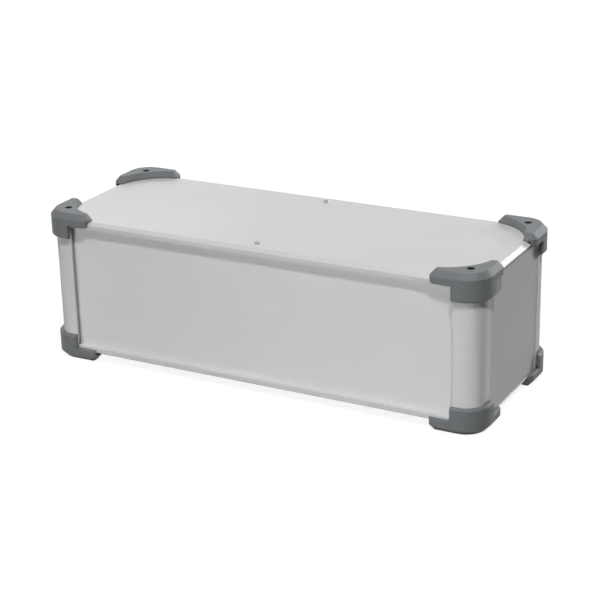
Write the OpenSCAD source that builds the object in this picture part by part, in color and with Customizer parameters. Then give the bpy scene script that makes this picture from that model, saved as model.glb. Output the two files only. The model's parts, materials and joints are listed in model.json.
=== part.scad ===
// Aluminium instrument enclosure with moulded corner guards.
// The origin is at the middle of the footprint, on the surface that the lower guards stand on.
// The front is towards -Y, the long side runs along X.

/* [Overall size] */
// Length over the corner guards
case_length = 480; // [400:1:620]
// Depth over the corner guards
case_depth = 184; // [160:1:260]
// Height over the corner guards
case_height = 158; // [120:1:220]

/* [Corner guards] */
// Reach of each arm along an edge, from the outer corner
guard_arm = 54.2; // [50:0.1:66]
// Radius of the outer corner, seen from above
guard_corner_r = 25.5; // [24:0.1:28]
// Radius of the outer corner at the tip of an arm
guard_tip_r = 7; // [6.2:0.1:9]
// Height of the guard's face above the cover
guard_rise = 7.5; // [7:0.1:10]
// Height of the bevel round the face
guard_bevel_h = 5.5; // [3:0.1:6]
// Width of the bevel along the outer edges
guard_bevel_w = 5; // [3:0.1:5.8]
// Radius of the hollow inner edge
guard_hollow_r = 51.7; // [46:0.1:56]
// Width of the bevel along the hollow inner edge
guard_hollow_bevel = 1.8; // [1:0.1:3]
// Width of an arm at its narrowest
guard_arm_w = 11.4; // [10:0.1:13]
// Drop of an arm's outer wall below the face
guard_arm_drop = 12.7; // [10.5:0.1:14]
// Chamfer on the free edge of an arm's wall
guard_arm_edge = 0.8; // [0.4:0.1:1.2]
// Drop of the skirt over the post below the face
guard_skirt_drop = 26.8; // [22:0.1:34]
// Chamfer on the free edge of the skirt
guard_skirt_edge = 1.5; // [0.5:0.1:2]
// Depth of the sink for the screw head
guard_sink_depth = 4.5; // [4:0.1:5]

/* [Covers] */
// Inset of the covers and posts from the outer faces of the guards
edge_inset = 4.6; // [4:0.1:5.4]
// Radius of the corners of the covers and posts, seen from above
cover_r = 20.5; // [18:0.1:22]
// Thickness of a cover
cover_t = 3.2; // [3:0.1:4]
// Height of the bevel along a cover's edge
cover_bevel_h = 2.8; // [1.5:0.1:2.9]
// Width of the bevel along a cover's edge
cover_bevel_w = 4.7; // [3:0.1:6]
// Depth of the lip over a long panel, from the cover's face
cover_lip_h = 7.3; // [5:0.1:10]
// Thickness of the rib behind a panel
cover_rib_t = 2; // [1.5:0.1:3]

/* [Corner posts] */
// Width of a post's faces
post_w = 26.9; // [26:0.1:30]
// Wall of the extrusion
post_wall = 2; // [1.5:0.1:2.5]
// Width of the bevel on a post's edge beside a long panel
post_edge_w = 1.5; // [1:0.1:2.5]
// Depth of the same bevel
post_edge_h = 0.6; // [0.5:0.1:1.5]
// Depth of the grooves for the panels
post_groove = 7.5; // [6:0.1:8.5]
// Diameter of the screw channel's wall
post_boss_d = 9; // [8:0.1:10]

/* [Panels] */
// Thickness of the front and rear panels
long_panel_t = 2.5; // [2:0.1:3]
// Recess of the front and rear panels behind the lips
long_panel_recess = 5.1; // [4:0.1:6]
// Thickness of the end panels
end_panel_t = 4; // [3.5:0.1:5]
// Recess of the end panels behind the posts
end_panel_recess = 0.9; // [0.2:0.1:1.2]
// Thickness of the tongue along an end panel's upright edges
end_tongue_t = 2.2; // [1.5:0.1:2.5]

/* [Pillars and screws] */
// Diameter of the pillars between the covers
pillar_d = 9; // [8:0.1:12]
// Depth of the tapped hole in each end of a pillar
pillar_tap = 12; // [10:0.1:16]
// Inset of a pillar's axis from the outer faces of the guards
pillar_inset = 20; // [19.5:0.1:28]
// Thread diameter of the guard screws
guard_screw_d = 4; // [3:0.1:4]
// Inset of a guard screw from both outer faces
guard_screw_inset = 20.4; // [19:0.1:22]
// Head diameter of the guard screws
guard_head_d = 7; // [6.5:0.1:7.5]
// Head height of the guard screws
guard_head_h = 2.6; // [2.2:0.1:3.2]
// Length of the guard screws under the head
guard_screw_l = 16; // [12:0.1:25]
// Thread diameter of the cover screws
cover_screw_d = 3; // [2.5:0.1:3.5]
// Head diameter of the cover screws
cover_head_d = 5.5; // [5:0.1:6.5]
// Head height of the cover screws
cover_head_h = 2; // [1.6:0.1:2.4]
// Length of the cover screws under the head
cover_screw_l = 10; // [8:0.1:12]

/* [Clearances] */
// Gap between a guard's walls and what they wrap
guard_gap = 0.2; // [0.1:0.05:0.4]
// Gap round a panel's edges and faces
panel_gap = 0.15; // [0.1:0.05:0.3]
// Gap round a screw's thread in its tapped hole
thread_gap = 0.05; // [0.03:0.01:0.1]
// Gap round a screw's shank and head
screw_gap = 0.2; // [0.15:0.05:0.4]

/* [Hidden] */
$fn = 96;
// How far a cut runs past the face it opens
over = 1;
cover_face_z = case_height - guard_rise;
cover_seat_z = cover_face_z - cover_t;
floor_seat_z = guard_rise + cover_t;
inner_h = cover_seat_z - floor_seat_z;
cover_l = case_length - 2 * edge_inset;
cover_w = case_depth - 2 * edge_inset;
skirt_reach = edge_inset + post_w;
wall_t = edge_inset - guard_gap;
hollow_c = guard_hollow_r + guard_arm_w;
screw_at = guard_screw_inset - edge_inset;
long_groove = [long_panel_recess - panel_gap, long_panel_recess + long_panel_t + panel_gap];
end_panel_back = end_panel_recess + end_panel_t;
end_groove = [end_panel_back - end_tongue_t - panel_gap, end_panel_back + panel_gap];
panel_h = inner_h - panel_gap;
dome_share = 0.4;
cross_share = 0.55;
slot_share = 0.14;
cross_depth_share = 0.5;
alu = "#c9cbcc";
alu_post = "#bfc1c2";
plastic = "#6f7477";
steel = "#b4b7b9";

// Mirror the children where asked
module flip_x(on) {
    if (on) mirror([1, 0, 0]) children();
    else children();
}

module flip_y(on) {
    if (on) mirror([0, 1, 0]) children();
    else children();
}

module flip_z(on) {
    if (on) translate([0, 0, case_height]) mirror([0, 0, 1]) children();
    else children();
}

// Put the children at one upright edge of the box, with x and y running inwards from its outer faces
module at_corner(right, rear, inset = 0) {
    flip_x(right)
        flip_y(rear)
            translate([inset - case_length / 2, inset - case_depth / 2, 0])
                children();
}

// Put a copy of the children at every upright edge
module at_corners(inset = 0) {
    for (right = [false, true], rear = [false, true])
        at_corner(right, rear, inset) children();
}

// Extrude an outline of y and z along x
module run_x(length) {
    rotate([90, 0, 90]) linear_extrude(length) children();
}

// Extrude an outline of x and z along y
module run_y(length) {
    translate([0, length, 0]) rotate([90, 0, 0]) linear_extrude(length) children();
}

// A quarter turn of an outline of radius and height, from the angle given
module quarter(from) {
    rotate([0, 0, from]) rotate_extrude(angle = 90) children();
}

// Outline of a slab's edge: a bevel at the top, then flat to the width given
module bevel_outline(w, h, bevel_w, bevel_h) {
    polygon([[0, 0], [w, 0], [w, h], [bevel_w, h], [0, h - bevel_h]]);
}

// The same edge as a radius outline, with the bevel at the rim
module bevel_rim(r, h, bevel_w, bevel_h) {
    polygon([[0, 0], [r, 0], [r, h - bevel_h], [r - bevel_w, h], [0, h]]);
}

// Outline of a hanging wall with a chamfer on its lower outer edge
module wall_outline(t, drop, edge) {
    polygon([[0, 0], [0, edge - drop], [edge, -drop], [t, -drop], [t, 0]]);
}

// The same wall as a radius outline, with its outer face at the rim
module wall_rim(r, t, drop, edge) {
    polygon([[r - t, 0], [r - t, -drop], [r - edge, -drop], [r, edge - drop], [r, 0]]);
}

// Outline of a square whose corner at the origin is round
module corner_outline(r, w) {
    intersection() {
        translate([r, r]) circle(r = r);
        square(r);
    }
    translate([r, 0]) square([w - r, w]);
    translate([0, r]) square([r, w - r]);
}

// The skirt round a guard's outer corner, hollowed to fit over the corner of the post
module guard_skirt_corner() {
    skirt_drop = guard_skirt_drop - guard_rise;
    difference() {
        translate([guard_corner_r, guard_corner_r, 0])
            quarter(180) wall_rim(guard_corner_r, guard_corner_r, skirt_drop, guard_skirt_edge);
        translate([wall_t, wall_t, -skirt_drop - over])
            linear_extrude(skirt_drop + 2 * over) corner_outline(cover_r + guard_gap, guard_corner_r);
    }
}

// One arm of a guard along x: its cap above the cover and its wall outside it
module guard_half() {
    straight_end = guard_arm - guard_tip_r;
    arm_drop = guard_arm_drop - guard_rise;
    skirt_drop = guard_skirt_drop - guard_rise;
    translate([guard_corner_r, 0, 0])
        run_x(straight_end - guard_corner_r)
            bevel_outline(guard_corner_r, guard_rise, guard_bevel_w, guard_bevel_h);
    translate([straight_end, guard_tip_r, 0])
        quarter(270)
            bevel_rim(guard_tip_r, guard_rise, guard_bevel_w, guard_bevel_h);
    translate([guard_arm, guard_tip_r, 0])
        mirror([1, 0, 0])
            run_y(straight_end - guard_tip_r)
                bevel_outline(guard_tip_r, guard_rise, guard_bevel_w, guard_bevel_h);
    translate([guard_corner_r, 0, 0])
        run_x(skirt_reach - guard_corner_r)
            wall_outline(wall_t, skirt_drop, guard_skirt_edge);
    translate([skirt_reach, 0, 0])
        run_x(straight_end - skirt_reach)
            wall_outline(wall_t, arm_drop, guard_arm_edge);
    intersection() {
        translate([straight_end, guard_tip_r, 0])
            quarter(270)
                wall_rim(guard_tip_r, guard_tip_r, arm_drop, guard_arm_edge);
        translate([straight_end, 0, -arm_drop])
            cube([guard_tip_r + over, wall_t, arm_drop]);
    }
}

// A guard that sits on a cover whose face is at z = 0, its outer corner at the origin
module guard_shape() {
    straight_end = guard_arm - guard_tip_r;
    bevel_z = guard_rise - guard_bevel_h;
    color(plastic) difference() {
        union() {
            translate([guard_corner_r, guard_corner_r, 0]) {
                quarter(180) bevel_rim(guard_corner_r, guard_rise, guard_bevel_w, guard_bevel_h);
                cube([straight_end - guard_corner_r, straight_end - guard_corner_r, guard_rise]);
            }
            guard_skirt_corner();
            guard_half();
            mirror([1, -1, 0]) guard_half();
        }
        translate([hollow_c, hollow_c, 0]) {
            translate([0, 0, -over]) cylinder(r = guard_hollow_r, h = bevel_z + over);
            translate([0, 0, bevel_z])
                cylinder(r1 = guard_hollow_r, r2 = guard_hollow_r + guard_hollow_bevel, h = guard_bevel_h);
        }
        translate([guard_screw_inset, guard_screw_inset, 0]) {
            translate([0, 0, -over]) cylinder(d = guard_screw_d + 2 * screw_gap, h = guard_rise + 2 * over);
            translate([0, 0, guard_rise - guard_sink_depth])
                cylinder(d = guard_head_d + 2 * screw_gap, h = guard_sink_depth + over);
        }
    }
}

module guard(right, rear, low) {
    flip_z(low)
        at_corner(right, rear)
            translate([0, 0, cover_face_z]) guard_shape();
}

// Outline of a corner post: an angle with a round outside, a screw channel and a groove for each panel
module post_outline() {
    boss_to_centre = (cover_r - screw_at) * sqrt(2);
    difference() {
        union() {
            difference() {
                corner_outline(cover_r, post_w);
                translate([end_groove[1] + post_wall, long_groove[1] + post_wall]) square(post_w);
            }
            translate([screw_at, screw_at]) circle(d = post_boss_d);
            translate([cover_r, cover_r])
                rotate(225)
                    translate([boss_to_centre, -post_wall / 2])
                        square([cover_r - post_wall / 2 - boss_to_centre, post_wall]);
        }
        translate([post_w - post_groove, long_groove[0]])
            square([post_groove + over, long_groove[1] - long_groove[0]]);
        translate([end_groove[0], post_w - post_groove])
            square([end_groove[1] - end_groove[0], post_groove + over]);
        translate([screw_at, screw_at]) circle(d = guard_screw_d);
        polygon([[post_w - post_edge_w, 0], [post_w, post_edge_h], [post_w + over, -over]]);
    }
}

module post(right, rear) {
    color(alu_post) at_corner(right, rear, edge_inset)
        translate([0, 0, floor_seat_z])
            linear_extrude(inner_h) post_outline();
}

// A cover's plate: round corners and straight edges with one bevel, round a flat middle
module cover_plate() {
    long_run = cover_l - 2 * cover_r;
    short_run = cover_w - 2 * cover_r;
    at_corners(edge_inset)
        translate([cover_r, cover_r, 0])
            quarter(180) bevel_rim(cover_r, cover_t, cover_bevel_w, cover_bevel_h);
    for (rear = [false, true])
        flip_y(rear)
            translate([-long_run / 2, -cover_w / 2, 0])
                run_x(long_run) bevel_outline(cover_r, cover_t, cover_bevel_w, cover_bevel_h);
    for (right = [false, true])
        flip_x(right)
            translate([-cover_l / 2, -short_run / 2, 0])
                run_y(short_run) bevel_outline(cover_r, cover_t, cover_bevel_w, cover_bevel_h);
    translate([-long_run / 2, -short_run / 2, 0]) cube([long_run, short_run, cover_t]);
}

// What hangs under a cover: the lips over the long panels and the ribs behind all the panels
module cover_lips() {
    drop = cover_lip_h - cover_t;
    lip_from = post_w + panel_gap;
    long_run = cover_l - 2 * lip_from;
    short_run = cover_w - 2 * lip_from;
    for (rear = [false, true])
        flip_y(rear) translate([-long_run / 2, -cover_w / 2, -drop]) {
            cube([long_run, long_panel_recess - panel_gap, drop + cover_t - cover_bevel_h]);
            translate([0, long_groove[1], 0]) cube([long_run, cover_rib_t, drop + cover_t / 2]);
        }
    for (right = [false, true])
        flip_x(right)
            translate([end_groove[1] - cover_l / 2, -short_run / 2, -drop])
                cube([cover_rib_t, short_run, drop + cover_t / 2]);
}

module cover(low) {
    flip_z(low) color(alu) difference() {
        translate([0, 0, cover_seat_z]) {
            cover_plate();
            cover_lips();
        }
        at_corners() {
            translate([guard_screw_inset, guard_screw_inset, cover_seat_z - over])
                cylinder(d = guard_screw_d + 2 * screw_gap, h = cover_t + 2 * over);
        }
        at_pillars() {
            translate([0, 0, cover_seat_z - over])
                cylinder(d = cover_screw_d + 2 * screw_gap, h = cover_t + 2 * over);
        }
    }
}

// A front or rear panel, held in the grooves of the posts and behind the lips
module long_panel(rear) {
    side = edge_inset + post_w - post_groove + panel_gap;
    color(alu) flip_y(rear)
        translate([side - case_length / 2, edge_inset + long_panel_recess - case_depth / 2, floor_seat_z])
            cube([case_length - 2 * side, long_panel_t, panel_h]);
}

// An end panel, nearly flush with the posts, with a tongue along each upright edge
module end_panel(right) {
    side = edge_inset + post_w + panel_gap;
    tongue_side = side - post_groove;
    tongue_at = end_panel_t - end_tongue_t;
    color(alu) flip_x(right)
        translate([edge_inset + end_panel_recess - case_length / 2, -case_depth / 2, floor_seat_z]) {
            translate([0, side, 0]) cube([end_panel_t, case_depth - 2 * side, panel_h]);
            translate([tongue_at, tongue_side, 0])
                cube([end_tongue_t, case_depth - 2 * tongue_side, panel_h]);
        }
}

// Put the children on the axes of both pillars
module at_pillars() {
    for (rear = [false, true])
        at_pillar(rear) children();
}

module at_pillar(rear) {
    flip_y(rear) translate([0, pillar_inset - case_depth / 2, 0]) children();
}

// A round pillar that ties the covers together, tapped at both ends
module pillar(rear) {
    color(alu_post) at_pillar(rear) translate([0, 0, floor_seat_z]) difference() {
        cylinder(d = pillar_d, h = inner_h);
        translate([0, 0, -over]) cylinder(d = cover_screw_d, h = pillar_tap + over);
        translate([0, 0, inner_h - pillar_tap]) cylinder(d = cover_screw_d, h = pillar_tap + over);
    }
}

// A domed screw with a cross recess, its head seated at z = 0
module screw(d, length, head_d, head_h) {
    dome = head_h * dome_share;
    dome_r = (pow(head_d / 2, 2) + pow(dome, 2)) / (2 * dome);
    cross_l = head_d * cross_share;
    cross_w = head_d * slot_share;
    cross_h = head_h * cross_depth_share;
    color(steel) {
        difference() {
            intersection() {
                cylinder(d = head_d, h = head_h);
                translate([0, 0, head_h - dome_r]) sphere(r = dome_r);
            }
            for (turn = [0, 90])
                rotate([0, 0, turn])
                    translate([-cross_l / 2, -cross_w / 2, head_h - cross_h])
                        cube([cross_l, cross_w, cross_h + over]);
        }
        translate([0, 0, -length]) cylinder(d = d - 2 * thread_gap, h = length);
    }
}

module guard_screws(low) {
    flip_z(low) at_corners()
        translate([guard_screw_inset, guard_screw_inset, case_height - guard_sink_depth])
            screw(guard_screw_d, guard_screw_l, guard_head_d, guard_head_h);
}

module cover_screws(low) {
    flip_z(low) at_pillars()
        translate([0, 0, cover_face_z])
            screw(cover_screw_d, cover_screw_l, cover_head_d, cover_head_h);
}

module top_cover() { cover(false); }
module bottom_cover() { cover(true); }
module front_panel() { long_panel(false); }
module rear_panel() { long_panel(true); }
module left_panel() { end_panel(false); }
module right_panel() { end_panel(true); }
module post_front_left() { post(false, false); }
module post_front_right() { post(true, false); }
module post_rear_left() { post(false, true); }
module post_rear_right() { post(true, true); }
module guard_top_front_left() { guard(false, false, false); }
module guard_top_front_right() { guard(true, false, false); }
module guard_top_rear_left() { guard(false, true, false); }
module guard_top_rear_right() { guard(true, true, false); }
module guard_bottom_front_left() { guard(false, false, true); }
module guard_bottom_front_right() { guard(true, false, true); }
module guard_bottom_rear_left() { guard(false, true, true); }
module guard_bottom_rear_right() { guard(true, true, true); }
module pillar_front() { pillar(false); }
module pillar_rear() { pillar(true); }
module guard_screws_top() { guard_screws(false); }
module guard_screws_bottom() { guard_screws(true); }
module cover_screws_top() { cover_screws(false); }
module cover_screws_bottom() { cover_screws(true); }

top_cover();
bottom_cover();
front_panel();
rear_panel();
left_panel();
right_panel();
post_front_left();
post_front_right();
post_rear_left();
post_rear_right();
guard_top_front_left();
guard_top_front_right();
guard_top_rear_left();
guard_top_rear_right();
guard_bottom_front_left();
guard_bottom_front_right();
guard_bottom_rear_left();
guard_bottom_rear_right();
pillar_front();
pillar_rear();
guard_screws_top();
guard_screws_bottom();
cover_screws_top();
cover_screws_bottom();
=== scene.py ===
"""Looks for the instrument enclosure: materials, edge rounding, studio and camera."""
import json
import math

import bpy
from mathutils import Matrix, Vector

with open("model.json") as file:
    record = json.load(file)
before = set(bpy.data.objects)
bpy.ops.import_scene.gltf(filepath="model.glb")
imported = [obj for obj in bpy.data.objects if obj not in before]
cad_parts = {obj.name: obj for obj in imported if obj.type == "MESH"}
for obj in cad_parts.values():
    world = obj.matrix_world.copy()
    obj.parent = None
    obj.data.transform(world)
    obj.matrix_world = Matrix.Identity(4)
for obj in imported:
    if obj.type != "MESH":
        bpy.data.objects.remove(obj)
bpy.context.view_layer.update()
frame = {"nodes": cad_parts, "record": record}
NODES = frame["nodes"]

MM = 0.001

# Camera, fitted to the photograph: a long lens from the front right, a little above
CAMERA_AT_MM = (749.22, -1365.43, 662.41)
CAMERA_TURN_DEG = (69.1237, 1.3089, 28.1052)
CAMERA_LENS_MM = 99.428
CAMERA_REACH_M = 50.0
SENSOR_MM = 36.0

# Studio: the strength of the light from all round, and the floor
PLAIN_STRENGTH = 0.005
WHITE_STRENGTH = 1.0
FLOOR_SIZE_M = 40.0
FLOOR_DROP_MM = 0.3
FLOOR_SHADE = 0.2
FLOOR_GLOW = 0.9
WHITE = (1.0, 1.0, 1.0, 1.0)

# Where the lamps aim unless they say otherwise: the middle of the case, in metres
CASE_MIDDLE = (0.0, 0.0, 0.08)

# How fine the brushed grain is along each axis, in cycles a metre
GRAIN_ALONG = (300.0, 1500.0, 1500.0)
GRAIN_ACROSS = (1500.0, 300.0, 1500.0)
GRAIN_UPRIGHT = (1500.0, 1500.0, 120.0)


def srgb(value):
    """A display value from 0 to 1 as linear light."""
    return value / 12.92 if value <= 0.04045 else ((value + 0.055) / 1.055) ** 2.4


def colour(r, g, b):
    """A display colour in 0 to 255 as a linear RGBA tuple."""
    return (srgb(r / 255), srgb(g / 255), srgb(b / 255), 1.0)


def grey(value):
    """A display grey in 0 to 255 as a linear RGBA tuple."""
    return colour(value, value, value)


class Graph:
    """A material's node tree, with short calls for making and linking nodes."""

    def __init__(self, name):
        self.material = bpy.data.materials.new(name)
        self.material.use_nodes = True
        self.tree = self.material.node_tree
        self.shader = self.tree.nodes["Principled BSDF"]
        self.output = self.tree.nodes["Material Output"]

    def node(self, kind, **settings):
        made = self.tree.nodes.new(kind)
        for key, value in settings.items():
            setattr(made, key, value)
        return made

    def link(self, source, target):
        self.tree.links.new(source, target)

    def noise(self, scale, detail=2.0, roughness=0.5):
        """Noise in the piece's own coordinates, with so many cycles a metre along each axis."""
        place = self.node("ShaderNodeTexCoord")
        mapping = self.node("ShaderNodeMapping")
        mapping.inputs["Scale"].default_value = scale
        self.link(place.outputs["Object"], mapping.inputs["Vector"])
        made = self.node("ShaderNodeTexNoise")
        made.inputs["Scale"].default_value = 1.0
        made.inputs["Detail"].default_value = detail
        made.inputs["Roughness"].default_value = roughness
        self.link(mapping.outputs["Vector"], made.inputs["Vector"])
        return made.outputs["Fac"]

    def ranged(self, value, start, stop, low=0.0, high=1.0):
        """A value brought to low at the start and high at the stop, and held there beyond them."""
        made = self.node("ShaderNodeMapRange")
        made.inputs["From Min"].default_value = start
        made.inputs["From Max"].default_value = stop
        made.inputs["To Min"].default_value = low
        made.inputs["To Max"].default_value = high
        self.link(value, made.inputs["Value"])
        return made.outputs["Result"]

    def spread(self, noise, low=0.0, high=1.0):
        """The middle half of a noise, stretched to a range."""
        return self.ranged(noise, 0.25, 0.75, low, high)

    def mix(self, fac, first, second):
        """Two colours mixed, each a tuple or the output of a node."""
        made = self.node("ShaderNodeMix", data_type="RGBA")
        self.link(fac, made.inputs["Factor"])
        for name, value in (("A", first), ("B", second)):
            socket = [s for s in made.inputs if s.name == name and s.type == "RGBA"][0]
            if isinstance(value, tuple):
                socket.default_value = value
            else:
                self.link(value, socket)
        return [s for s in made.outputs if s.type == "RGBA"][0]

    def times(self, first, second):
        made = self.node("ShaderNodeMath", operation="MULTIPLY")
        self.link(first, made.inputs[0])
        self.link(second, made.inputs[1])
        return made.outputs["Value"]

    def recess(self, reach_mm, open_from, deep_from):
        """0 on faces that are open to the surroundings and 1 deep in a recess, a mask for shade
        painted into recesses.
        """
        near = self.node("ShaderNodeAmbientOcclusion", samples=8)
        near.inputs["Distance"].default_value = reach_mm * MM
        return self.ranged(near.outputs["AO"], open_from, deep_from)

    def facing_along(self):
        """1 on walls that face along the length and 0 on others."""
        facing = self.node("ShaderNodeSeparateXYZ")
        self.link(self.node("ShaderNodeTexCoord").outputs["Normal"], facing.inputs["Vector"])
        along = self.node("ShaderNodeMath", operation="ABSOLUTE")
        self.link(facing.outputs["X"], along.inputs[0])
        return self.ranged(along.outputs["Value"], 0.9, 0.98)

    def relief(self, height, depth_mm, strength, edge_mm):
        """A fine bump over edges that are shaded as slightly rounded."""
        edge = self.node("ShaderNodeBevel", samples=6)
        edge.inputs["Radius"].default_value = edge_mm * MM
        made = self.node("ShaderNodeBump")
        made.inputs["Strength"].default_value = strength
        made.inputs["Distance"].default_value = depth_mm * MM
        self.link(height, made.inputs["Height"])
        self.link(edge.outputs["Normal"], made.inputs["Normal"])
        self.link(made.outputs["Normal"], self.shader.inputs["Normal"])

    def surface(self, base, roughness, metallic, specular):
        """The base colour and roughness from nodes, and two constants."""
        self.link(base, self.shader.inputs["Base Color"])
        self.link(roughness, self.shader.inputs["Roughness"])
        self.shader.inputs["Metallic"].default_value = metallic
        self.shader.inputs["Specular IOR Level"].default_value = specular
        return self.material


def anodised(name, low, high, metallic, specular, roughness, grain, recess_shade=None):
    """Matt anodised aluminium with a fine grain along one axis and a faint cloudiness.

    With a recess shade colour, shade is painted darker on recessed walls that face along the length.
    """
    g = Graph(name)
    fine = g.noise(grain, detail=3.0, roughness=0.6)
    cloud = g.noise((9.0, 9.0, 9.0))
    base = g.mix(g.spread(cloud), low, high)
    base = g.mix(g.spread(fine, 0.0, 0.35), base, high)
    if recess_shade:
        # Painted shade: recessed walls that face along the length are darkened towards the recess
        # shade colour
        shaded_recess = g.recess(reach_mm=10.0, open_from=0.9, deep_from=0.5)
        base = g.mix(g.times(shaded_recess, g.facing_along()), base, recess_shade)
    g.relief(fine, depth_mm=0.02, strength=0.25, edge_mm=0.35)
    return g.surface(base, g.spread(fine, roughness - 0.04, roughness + 0.04), metallic, specular)


def moulded(name, low, high, hole_shade, specular, roughness):
    """Moulded plastic with a fine spark-eroded texture, with shade painted darker inside narrow holes
    and notches.
    """
    g = Graph(name)
    texture = g.noise((1600.0, 1600.0, 1600.0), roughness=0.55)
    cloud = g.noise((22.0, 22.0, 22.0), detail=3.0)
    base = g.mix(g.spread(cloud), low, high)
    # Painted shade: narrow holes and notches are darkened towards the hole shade colour
    base = g.mix(g.recess(reach_mm=8.0, open_from=0.52, deep_from=0.4), base, hole_shade)
    g.relief(texture, depth_mm=0.06, strength=0.35, edge_mm=0.6)
    return g.surface(base, g.spread(texture, roughness - 0.06, roughness + 0.06), 0.0, specular)


def plated(name, low, high, metallic, specular, roughness, edge_mm):
    """Plated steel with fine turning marks, its edges shaded as rounded."""
    g = Graph(name)
    marks = g.noise((2500.0, 2500.0, 900.0))
    base = g.mix(g.spread(marks), low, high)
    g.relief(marks, depth_mm=0.01, strength=0.2, edge_mm=edge_mm)
    return g.surface(base, g.spread(marks, roughness - 0.05, roughness + 0.05), metallic, specular)


COVER = anodised("cover_matt_aluminium", grey(214), grey(218),
                 metallic=0.05, specular=0.2, roughness=0.38, grain=GRAIN_ALONG)
PANEL = anodised("panel_matt_aluminium", grey(225), grey(229),
                 metallic=0.05, specular=0.2, roughness=0.45, grain=GRAIN_ALONG)
# The end panels carry a darker copy of the panel aluminium: shade painted into the colour of the ends
END_SHADED = anodised("end_panel_shaded_aluminium", grey(206), grey(210),
               metallic=0.0, specular=0.12, roughness=0.55, grain=GRAIN_ACROSS)
# The posts get painted shade, grey 120, on their recessed walls beside the front panel
POST = anodised("post_matt_aluminium", grey(224), grey(228),
                metallic=0.0, specular=0.12, roughness=0.5, grain=GRAIN_UPRIGHT, recess_shade=grey(120))
# The guards get painted shade, near black, inside their holes and notches
GUARD = moulded("guard_grey_plastic", colour(120, 123, 125), colour(124, 127, 129),
                hole_shade=colour(46, 48, 49), specular=0.16, roughness=0.48)
SCREW = plated("screw_plated_steel", grey(154), grey(168),
               metallic=0.9, specular=0.4, roughness=0.32, edge_mm=1.0)
# The guard screws are near black, which paints the shade down in the guard holes
DARK_SCREW_HOLE_SHADE = plated("screw_dark_steel_hole_shade", colour(18, 18, 19), colour(26, 26, 27),
                    metallic=0.3, specular=0.4, roughness=0.45, edge_mm=0.2)

FINISHES = {
    "cover_aluminium": COVER,
    "panel_aluminium": PANEL,
    "post_aluminium": POST,
    "guard_plastic": GUARD,
    "screw_steel": SCREW,
}
OWN_FINISH = {
    "left_panel": END_SHADED,
    "right_panel": END_SHADED,
    "guard_screws_top": DARK_SCREW_HOLE_SHADE,
    "guard_screws_bottom": DARK_SCREW_HOLE_SHADE,
}
for part in frame["record"]["subparts"]:
    node = NODES[part["node"]]
    node.data.materials.clear()
    node.data.materials.append(OWN_FINISH.get(part["node"], FINISHES[part["material_slot"]]))


def lamp(name, direction, distance, size, power, aim=CASE_MIDDLE, spread=180.0):
    """A square soft light at a distance along a direction from its aim, facing it."""
    data = bpy.data.lights.new(name, "AREA")
    data.shape = "SQUARE"
    data.size = size
    data.energy = power
    data.spread = math.radians(spread)
    made = bpy.data.objects.new(name, data)
    bpy.context.scene.collection.objects.link(made)
    away = Vector(direction).normalized()
    made.location = Vector(aim) + away * distance
    made.rotation_mode = "QUATERNION"
    made.rotation_quaternion = away.to_track_quat("Z", "Y")


def towards(azimuth, elevation):
    """The direction of a lamp: azimuth from the front towards the right, elevation from the floor."""
    a = math.radians(azimuth)
    e = math.radians(elevation)
    return (math.sin(a) * math.cos(e), -math.cos(a) * math.cos(e), math.sin(e))


# The key from the front right above throws the shadows of the lips and guards on the front
lamp("key", towards(35.0, 59.9), distance=6.0, size=0.2, power=202.0)
# The rim from low behind on the right lights the right end
lamp("rim", towards(152.3, 12.5), distance=6.0, size=0.15, power=118.0)
# Four low lamps fill the front, two of them narrow, at the lower right and the left post
lamp("front", towards(-22.0, 5.0), distance=4.0, size=0.6, power=14.0)
lamp("front_left", (-0.5, -1.3, 0.02), distance=1.39, size=0.4, power=2.3)
lamp("front_right", towards(-20.0, 5.0), distance=4.0, size=0.6, power=0.36,
     aim=(0.22, -0.09, 0.0), spread=16.0)
lamp("left_post", towards(-8.0, 3.0), distance=1.5, size=0.06, power=0.0035,
     aim=(-0.24, -0.09, 0.045), spread=7.0)
# Three more light the top, one of them with a glint on its right bevel
lamp("top", (0.0, 0.02, 1.12), distance=1.12, size=0.4, power=1.4)
lamp("rear", towards(171.5, 27.0), distance=3.0, size=0.4, power=20.0)
lamp("rear_left", towards(220.0, 30.0), distance=3.0, size=0.4, power=4.0)


def seen_rays(tree):
    """1 for rays that show the surroundings: those of the camera, of reflections and through glass."""
    path = tree.nodes.new("ShaderNodeLightPath")
    total = path.outputs["Is Camera Ray"]
    for name in ("Is Glossy Ray", "Is Transmission Ray"):
        larger = tree.nodes.new("ShaderNodeMath")
        larger.operation = "MAXIMUM"
        tree.links.new(total, larger.inputs[0])
        tree.links.new(path.outputs[name], larger.inputs[1])
        total = larger.outputs["Value"]
    return total


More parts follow.
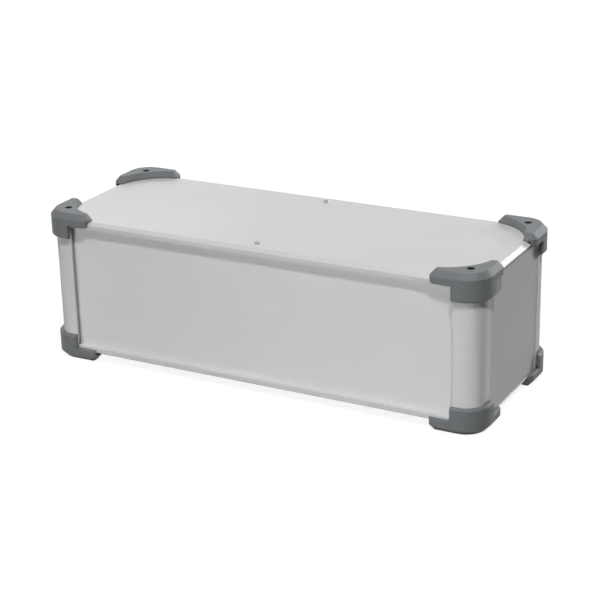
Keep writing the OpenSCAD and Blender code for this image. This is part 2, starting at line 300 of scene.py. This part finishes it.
# Surroundings: white where they are seen, and hardly any light from them on the object
world = bpy.data.worlds.new("studio")
bpy.context.scene.world = world
world.use_nodes = True
tree = world.node_tree
tree.nodes.clear()
blend = tree.nodes.new("ShaderNodeMixShader")
tree.links.new(seen_rays(tree), blend.inputs["Fac"])
for place, strength in ((1, PLAIN_STRENGTH), (2, WHITE_STRENGTH)):
    background = tree.nodes.new("ShaderNodeBackground")
    background.inputs["Color"].default_value = WHITE
    background.inputs["Strength"].default_value = strength
    tree.links.new(background.outputs["Background"], blend.inputs[place])
out = tree.nodes.new("ShaderNodeOutputWorld")
tree.links.new(blend.outputs["Shader"], out.inputs["Surface"])

# Floor: a glow that is only seen, and a matt shade under it that takes the shadow
bpy.ops.mesh.primitive_plane_add(size=FLOOR_SIZE_M, location=(0.0, 0.0, -FLOOR_DROP_MM * MM))
floor = bpy.context.object
floor.name = "floor"
g = Graph("floor_white")
g.shader.inputs["Base Color"].default_value = (FLOOR_SHADE, FLOOR_SHADE, FLOOR_SHADE, 1.0)
g.shader.inputs["Roughness"].default_value = 0.9
g.shader.inputs["Specular IOR Level"].default_value = 0.0
glow = g.node("ShaderNodeEmission")
glow.inputs["Color"].default_value = WHITE
g.link(g.ranged(seen_rays(g.tree), 0.0, 1.0, 0.0, FLOOR_GLOW), glow.inputs["Strength"])
both = g.node("ShaderNodeAddShader")
g.link(g.shader.outputs["BSDF"], both.inputs[0])
g.link(glow.outputs["Emission"], both.inputs[1])
g.link(both.outputs["Shader"], g.output.inputs["Surface"])
floor.data.materials.append(g.material)

camera_data = bpy.data.cameras.new("camera")
camera_data.sensor_width = SENSOR_MM
camera_data.lens = CAMERA_LENS_MM
camera_data.clip_end = CAMERA_REACH_M
camera = bpy.data.objects.new("camera", camera_data)
bpy.context.scene.collection.objects.link(camera)
camera.location = [v * MM for v in CAMERA_AT_MM]
camera.rotation_euler = [math.radians(v) for v in CAMERA_TURN_DEG]
bpy.context.scene.camera = camera
bpy.context.scene.view_settings.view_transform = "Standard"
